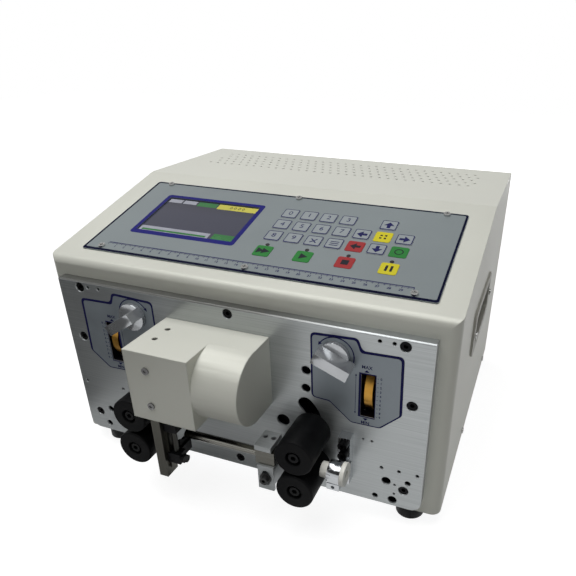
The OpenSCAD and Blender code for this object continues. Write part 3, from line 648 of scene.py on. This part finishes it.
def pad_edges():
    """Film over the keypad sheet's lower edge, border and display frame."""
    flap = Sheet(PANEL, 0.0, PAD_TOP + PRINT / 2)
    flap.plate(round_rect(PAD_LEFT, PAD_LOW - PAD_FLAP, PAD_RIGHT, PAD_LOW + PAD_LAP, PAD_ROUND))
    flap.piece("pad_lower_edge", "case", "overlay_film", FINISHES["overlay_film"])

    border = pad_sheet()
    left, bottom = PAD_LEFT + BORDER_EDGE, PAD_LOW - PAD_FLAP + BORDER_EDGE
    right, top = PAD_RIGHT - BORDER_EDGE, PAD_HIGH - BORDER_EDGE
    field = round_rect(left + BORDER_WIDTH, bottom + BORDER_LOWER, right - BORDER_WIDTH, top - BORDER_WIDTH,
                       BORDER_ROUND)
    border.plate(round_rect(left, bottom, right, top, PAD_ROUND), field)
    border.piece("pad_border_print", "case", "overlay_film", INK_BORDER)

    left, bottom, right, top = WINDOW
    wide_left, wide_bottom, wide_right, wide_top = FRAME_WIDTHS
    bezel = pad_sheet()
    bezel.plate(round_rect(left - wide_left, bottom - wide_bottom, right + wide_right, top + wide_top,
                           FRAME_ROUND), rect(*WINDOW))
    bezel.piece("pad_display_frame", "case", "overlay_film", INK_BLUE)


def pad_ruler():
    """Ruler along the keypad sheet's lower edge."""
    ruler = pad_sheet()
    ruler.plate(rect(RULER_START, RULER_B, RULER_START + RULER_LENGTH, RULER_B + RULER_LINE))
    for tick in range(RULER_LENGTH + 1):
        a = RULER_START + tick
        size, half = next((size, half) for every, size, half in TICKS if tick % every == 0)
        ruler.plate(rect(a - half, RULER_B - size, a + half, RULER_B))
    for number in range(1, RULER_LENGTH // 10):
        a = RULER_START + number * 10
        ruler.text(str(number), a, RULER_B - NUMBER_DROP, NUMBER_SIZE, NUMBER_BOLD)
    ruler.piece("pad_ruler_print", "case", "overlay_film", INK_NAVY)


def pad_lamps():
    """Lamp lenses over the function keys."""
    lamps = Sheet(PANEL, PAD_TOP - PRINT, PAD_TOP + LAMP_RISE)
    for key in FUNCTION_KEYS:
        a, _ = key_place(key)
        lamps.plate(disc(a, LAMP_ROW, LAMP_RADIUS))
    lamps.piece("pad_lamp_lenses", "case", "display_glass", LAMP_LENS)


def screen_content():
    """Fields of the display: two grey tabs, a green one, zeros on yellow, a bar with a stripe, a button."""
    low, high = SCREEN_TOP - SCREEN_SINK, SCREEN_TOP + PRINT
    left, bottom, right, top = WINDOW
    yellow_field = (left + 60.5, top - 10.5, right - 1, top - 1.5)
    fields = {
        "screen_tabs": (SCREEN_GREY, [(left + 1.5, top - 8, left + 17, top - 1.5),
                                      (left + 19, top - 8, left + 34.5, top - 1.5),
                                      (left + 1, bottom + 1, left + 79, bottom + 9.5)]),
        "screen_green_tabs": (SCREEN_GREEN, [(left + 36.5, top - 9.5, left + 59, top - 1.5),
                                             (left + 82.5, bottom + 1, right - 1, bottom + 10.5)]),
        "screen_yellow_field": (SCREEN_YELLOW, [yellow_field]),
    }
    for name, (material, boxes) in fields.items():
        sheet = Sheet(PANEL, low, high)
        for box in boxes:
            sheet.plate(rect(*box))
        sheet.piece(name, "case", "display_glass", material)
    stripe = Sheet(PANEL, low, high + PRINT)
    stripe.plate(rect(left + 4, bottom + 2.2, left + 76, bottom + 5))
    stripe.piece("screen_bar_stripe", "case", "display_glass", SCREEN_GREEN)
    digits = Sheet(PANEL, low, high + PRINT)
    digits.text("0 0 0 0", (yellow_field[0] + yellow_field[2]) / 2, top - 6, 6)
    digits.piece("screen_digits", "case", "display_glass", INK_DARK)


# Key prints, in mm from the middle of a key

# Keys without an outline, which bear a dark sign on a colour
COLOURED_KEYS = ("key_menu", "key_back", "key_enter", *FUNCTION_KEYS)
# Outline: left, lower, right and upper inset of its outer and inner edge, each with its corner radius
KEY_OUTER, KEY_OUTER_ROUND = (0.2, 0.2, 0.2, 0.2), 1.9
KEY_INNER, KEY_INNER_ROUND = (0.9, 1.5, 1.1, 0.9), 1.2
# Number on a key: height of its middle, size
DIGIT_UP, DIGIT_SIZE = 0.6, 9

ARROW = [(-1.7, -5), (1.7, -5), (1.7, -0.6), (5, -0.6), (0, 5), (-5, -0.6), (-1.7, -0.6)]
TRIANGLE = [(-3.2, -4.2), (4.4, 0), (-3.2, 4.2)]
BAR = rect(-4.2, -0.6, 4.2, 0.6)
HALF_BAR = rect(0.85, -0.6, 4.2, 0.6)
# Outlines of the sign on each key that bears no number
SIGNS = {key: [turned(ARROW, 90 * quarter)]
         for quarter, key in enumerate(("key_up", "key_left", "key_down", "key_right"))}
SIGNS.update({
    "key_clear": [turned(BAR, 45), turned(HALF_BAR, 135), turned(HALF_BAR, 315)],
    "key_program": [rect(-4.2, b - 0.5, 4.2, b + 0.5) for b in (-2.8, 0, 2.8)],
    "key_menu": [rect(a - 1.1, b - 1.1, a + 1.1, b + 1.1) for a in (-2.2, 2.2) for b in (-2.2, 2.2)],
    "key_back": [turned(ARROW, 90)],
    "key_enter": [arc_band(0, 0, 3.2, 4.2, 0, 359, 30)],
    "key_resume": [moved(TRIANGLE, -3, 0), moved(TRIANGLE, 2.4, 0)],
    "key_start": [TRIANGLE],
    "key_stop": [rect(-3.4, -3.4, 3.4, 3.4)],
    "key_halt": [rect(-3.4, -4, -1.1, 4), rect(1.1, -4, 3.4, 4)],
})


def key_place(key):
    """Middle of a key on the panel, from its box."""
    low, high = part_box(key)
    upper_edge = (Vector((0, high.y, high.z)) - PANEL.origin).dot(PANEL.up) / MM
    return (low.x + high.x) / 2 / MM, upper_edge - KEY_SIZE / 2


def key_outline(insets, radius):
    half = KEY_SIZE / 2
    left, lower, right, upper = insets
    return round_rect(left - half, lower - half, half - right, half - upper, radius)


def key_prints():
    """Outline and number or sign of each key, riding on it."""
    for key in (n for n in NODES if n.startswith("key_")):
        a, b = key_place(key)
        sheet = Sheet(PANEL, KEY_TOP - PRINT, KEY_TOP + PRINT)
        if key not in COLOURED_KEYS:
            outer, inner = key_outline(KEY_OUTER, KEY_OUTER_ROUND), key_outline(KEY_INNER, KEY_INNER_ROUND)
            sheet.plate(moved(outer, a, b), moved(inner, a, b))
        number = key.removeprefix("key_")
        if number.isdigit():
            sheet.text(number, a, b + DIGIT_UP, DIGIT_SIZE)
        else:
            for outline in SIGNS[key]:
                sheet.plate(moved(outline, a, b))
        colour = INK_DARK if key in COLOURED_KEYS else INK_NAVY
        sheet.piece(key + "_print", key + "_body", "overlay_film", colour)


# Scale labels on the front plate, in mm on the plate, right side

LABEL_TOP = 0.16
LABEL_INNER = [(76.5, 172.2), (76.7, 108.8), (93.2, 108), (113.1, 91)]
# The two labels differ in their outer halves
LABEL_OUTER = {1: [(139.2, 91.3), (157.2, 108.6), (156.0, 164.6), (121.5, 163.4), (117.5, 174.2)],
               -1: [(140.0, 90.2), (158.9, 107.0), (157.7, 163.4), (123.7, 164.2), (120.1, 174.2)]}
# Border widths from the left edge round to the top one, and corner radii of its outer and inner edge
LABEL_BORDER = (1.6, 1.0, 0.8, 0.9, 1.2, 2.3, 2.3, 2.2, 2.3)
LABEL_ROUND = (5.0, 3.6)
SPINDLE_HOLE = 8.0
# Line round the window: its width towards the knob, outwards, and at both ends
LINE_IN, LINE_OUT, LINE_END = 2.0, 0.5, 1.0
# Arrow round the knob: radii, ends in degrees and its head
TURN_RADII, TURN_ENDS = (15.6, 16.6), (-15, 145)
TURN_HEAD = [(-1.7, 0), (1.7, 0), (0, 3.4)]
# Pointers past the window's ends: shift towards the knob, distance, half width, height
POINTER_SHIFT, POINTER_GAP, POINTER_HALF, POINTER_HEIGHT = 1.6, 1.8, 2.4, 2.4
# Words past the pointers: distance from the pointer's foot, size, boldness
WORD_GAP, WORD_SIZE, WORD_BOLD = 4.7, 4.2, 0.09
# Scale outside the window: steps, margin at its ends, and its dashes' distance, length and half width
SCALE_STEPS, SCALE_MARGIN, DASH_GAP, DASH_LENGTH, DASH_HALF = 10, 2.0, 1.2, 1.4, 0.2
# Numbers of the scale: distance from a dash's start, size, boldness
STEP_GAP, STEP_SIZE, STEP_BOLD = 3.3, 3.0, 0.06
# Double arrow inside the window: distance, half width, margin at its ends, and its heads
RANGE_GAP, RANGE_HALF, RANGE_MARGIN, RANGE_HEAD_HALF, RANGE_HEAD = 4.6, 0.2, 3.0, 0.9, 1.9


def mirrored(outline, side):
    """An outline for the right label where side is 1, or its mirror image where side is -1."""
    return outline if side > 0 else [(-a, b) for a, b in reversed(outline)]


def pointer(a, b, half, height, end):
    """A triangle that points up where end is 1, or down where end is -1."""
    return [(a - half, b), (a + half, b), (a, b + end * height)][::end]


def scale_label(side):
    """Grey label round a lift knob and its thumbwheel window. side is 1 on the right, -1 on the left."""
    name = "right" if side > 0 else "left"
    half_w, half_h = WHEEL_WINDOW[0] / 2, WHEEL_WINDOW[1] / 2
    inner, outer, low, high = WHEEL_X - half_w, WHEEL_X + half_w, WHEEL_Z - half_h, WHEEL_Z + half_h
    window = rect(inner, low, outer, high)
    corners = LABEL_INNER + LABEL_OUTER[side]
    outline = rounded(corners, LABEL_ROUND[0])

    base = Sheet(PLATE, 0.0, LABEL_TOP)
    base.plate(*(mirrored(o, side) for o in (outline, window, disc(KNOB_X, KNOB_Z, SPINDLE_HOLE))))
    base.piece(name + "_scale_label", "case", "overlay_film", LABEL_FILM)

    sheet = Sheet(PLATE, LABEL_TOP - PRINT, LABEL_TOP + PRINT)

    def draw(*outlines):
        sheet.plate(*(mirrored(o, side) for o in outlines))

    draw(outline, rounded(inset(corners, LABEL_BORDER), LABEL_ROUND[1]))
    draw(rect(inner - LINE_IN, low - LINE_END, outer + LINE_OUT, high + LINE_END), window)
    draw(arc_band(KNOB_X, KNOB_Z, *TURN_RADII, *TURN_ENDS))
    for angle, turn in zip(TURN_ENDS, (180, 0)):
        foot = arc(KNOB_X, KNOB_Z, sum(TURN_RADII) / 2, angle, angle, 1)[0]
        draw(moved(turned(TURN_HEAD, angle + turn), *foot))
    middle = WHEEL_X - POINTER_SHIFT
    for end, word in ((-1, "MIN"), (1, "MAX")):
        b = WHEEL_Z + end * (half_h + POINTER_GAP)
        draw(pointer(middle, b, POINTER_HALF, POINTER_HEIGHT, end))
        sheet.text(word, side * middle, b + end * WORD_GAP, WORD_SIZE, WORD_BOLD)
    dash = outer + DASH_GAP
    for step in range(SCALE_STEPS):
        b = high - SCALE_MARGIN - step * (WHEEL_WINDOW[1] - 2 * SCALE_MARGIN) / (SCALE_STEPS - 1)
        draw(rect(dash, b - DASH_HALF, dash + DASH_LENGTH, b + DASH_HALF))
        sheet.text(str(step), side * (dash + STEP_GAP), b, STEP_SIZE, STEP_BOLD)
    line = inner - RANGE_GAP
    draw(rect(line - RANGE_HALF, low + RANGE_MARGIN, line + RANGE_HALF, high - RANGE_MARGIN))
    for end in (-1, 1):
        draw(pointer(line, WHEEL_Z + end * (half_h - RANGE_MARGIN), RANGE_HEAD_HALF, RANGE_HEAD, end))
    sheet.piece(name + "_scale_print", "case", "overlay_film", INK_NAVY)


# Studio

FOCAL_PX, CENTRE_PX, IMAGE_PX = 561.4, (341.4, 329.0), 576
SENSOR_MM = 36
CAMERA_MM = (234.9, -508.0, 404.0)
CAMERA_FORWARD = Vector((-0.29644, 0.83173, -0.46941))
CAMERA_RIGHT = Vector((0.93986, 0.34137, 0.01133))

# Light of the room on the part, and tone of the sky overhead in reflections
AMBIENT = 0.08
SKY_TOP = 0.3
# Half the floor's width in metres, and its tone
FLOOR_HALF = 3.0
FLOOR_TONE = 0.36
# Least glow of the floor to the camera, then its glow in reflections near and far, and those distances
FLOOR_WHITE = 0.88
FLOOR_LIFT = (0.75, 1.0)
FLOOR_FAR = (0.5, 1.6)
# Cloths that only reflections show: tone, place and size in metres, degrees tipped up
CARDS = {"dark_floor_card": (0.135, (-0.735, -0.75, 0.002), (1.0, 1.3), 0),
         "pale_front_card": (0.75, (-0.0925, -0.225, 0.002), (0.285, 0.15), 0),
         "dark_back_card": (0.105, (0.1, -1.5, 1.2), (2.6, 1.2), 90)}
# Lamps: place, aim and size in metres, watts
LAMPS = {"overhead": ((-0.2, -0.22, 1.6), (0.0, -0.05, 0.1), (1.7, 1.3), 22.5),
         "rear_fill": ((0.0, 1.5, 0.14), (0.0, 0.1, 0.14), (1.4, 0.24), 5.0)}


def studio_camera():
    """Camera fitted to the photograph's straight edges."""
    data = bpy.data.cameras.new("camera")
    data.sensor_width = SENSOR_MM
    data.lens = FOCAL_PX * SENSOR_MM / IMAGE_PX
    data.shift_x = (IMAGE_PX / 2 - CENTRE_PX[0]) / IMAGE_PX
    data.shift_y = (CENTRE_PX[1] - IMAGE_PX / 2) / IMAGE_PX
    camera = new_object("camera", data)
    up = CAMERA_RIGHT.cross(CAMERA_FORWARD)
    turn = Matrix((CAMERA_RIGHT, up, -CAMERA_FORWARD)).transposed().to_4x4()
    camera.matrix_world = Matrix.Translation(Vector(CAMERA_MM) * MM) @ turn
    bpy.context.scene.camera = camera


def ray_kinds(tree):
    return tree.nodes.new("ShaderNodeLightPath").outputs


def seen_directly(tree):
    """1 for rays from the camera, from a reflection or through glass, 0 for rays that gather light."""
    kinds = ray_kinds(tree)
    mirror = arithmetic(tree, "MAXIMUM", kinds["Is Camera Ray"], kinds["Is Glossy Ray"])
    return arithmetic(tree, "MAXIMUM", mirror, kinds["Is Transmission Ray"])


def studio_sky():
    """White to the camera, darker upwards in reflections, faint as a light."""
    world = bpy.data.worlds.new("studio")
    world.use_nodes = True
    tree = world.node_tree
    background = tree.nodes["Background"]
    tree.links.new(scaled(tree, seen_directly(tree), AMBIENT, 1), background.inputs["Strength"])
    direction = tree.nodes.new("ShaderNodeSeparateXYZ")
    tree.links.new(tree.nodes.new("ShaderNodeTexCoord").outputs["Generated"], direction.inputs[0])
    sky = scaled(tree, direction.outputs["Z"], 1, SKY_TOP)
    tone = arithmetic(tree, "MAXIMUM", sky, ray_kinds(tree)["Is Camera Ray"])
    grey = tree.nodes.new("ShaderNodeCombineColor")
    for socket in grey.inputs:
        tree.links.new(tone, socket)
    tree.links.new(grey.outputs[0], background.inputs["Color"])
    bpy.context.scene.world = world


def floor_cloth():
    """Matt grey with a glow that only the camera and reflections see."""
    material = bpy.data.materials.new("studio_floor")
    material.use_nodes = True
    tree = material.node_tree
    shader, output = tree.nodes["Principled BSDF"], tree.nodes["Material Output"]
    shader.inputs["Base Color"].default_value = (FLOOR_TONE, FLOOR_TONE, FLOOR_TONE, 1)
    shader.inputs["Roughness"].default_value = 1
    shader.inputs["Specular IOR Level"].default_value = 0
    distance = tree.nodes.new("ShaderNodeVectorMath")
    distance.operation = "LENGTH"
    tree.links.new(tree.nodes.new("ShaderNodeTexCoord").outputs["Object"], distance.inputs[0])
    lift = scaled(tree, distance.outputs["Value"], *FLOOR_LIFT, *FLOOR_FAR)
    reflected = arithmetic(tree, "MULTIPLY", lift, seen_directly(tree))
    white = scaled(tree, ray_kinds(tree)["Is Camera Ray"], 0, FLOOR_WHITE)
    glow, both = tree.nodes.new("ShaderNodeEmission"), tree.nodes.new("ShaderNodeAddShader")
    tree.links.new(arithmetic(tree, "MAXIMUM", reflected, white), glow.inputs["Strength"])
    tree.links.new(shader.outputs[0], both.inputs[0])
    tree.links.new(glow.outputs[0], both.inputs[1])
    tree.links.new(both.outputs[0], output.inputs["Surface"])
    return material


def studio_floor():
    shape = bmesh.new()
    bmesh.ops.create_grid(shape, x_segments=4, y_segments=4, size=FLOOR_HALF)
    floor = mesh_object("floor", shape, floor_cloth())


def reflected_cards():
    """Cloths left of the picture, before the part and behind the camera, for the metal to reflect."""
    for name, (tone, place, size, tip) in CARDS.items():
        f = Finish(name + "_cloth", 0.9, 0.0, 0.0)
        f.colours(f.noise(400), shade((tone, tone, tone), 0.9), shade((tone, tone, tone), 1.1))
        shape = bmesh.new()
        bmesh.ops.create_grid(shape, x_segments=6, y_segments=6, size=0.5)
        turn = Matrix.Rotation(math.radians(tip), 4, "X") @ Matrix.Diagonal((*size, 1, 1))
        bmesh.ops.transform(shape, matrix=turn, verts=shape.verts)
        card = mesh_object(name, shape, f.material)
        card.location = place
        card.visible_camera = card.visible_diffuse = card.visible_shadow = False


def studio_lights():
    """Soft boxes that the camera doesn't see."""
    for name, (place, aim, size, watts) in LAMPS.items():
        data = bpy.data.lights.new(name, "AREA")
        data.shape, data.size, data.size_y = "RECTANGLE", *size
        data.energy = watts
        lamp = new_object(name, data)
        lamp.location = place
        lamp.rotation_euler = (Vector(aim) - Vector(place)).to_track_quat("-Z", "Y").to_euler()
        lamp.visible_camera = False


dress_nodes()
pad_edges()
pad_ruler()
pad_lamps()
screen_content()
key_prints()
for label_side in (1, -1):
    scale_label(label_side)
studio_camera()
studio_sky()
studio_floor()
reflected_cards()
studio_lights()
bpy.context.scene.view_settings.view_transform = "Standard"
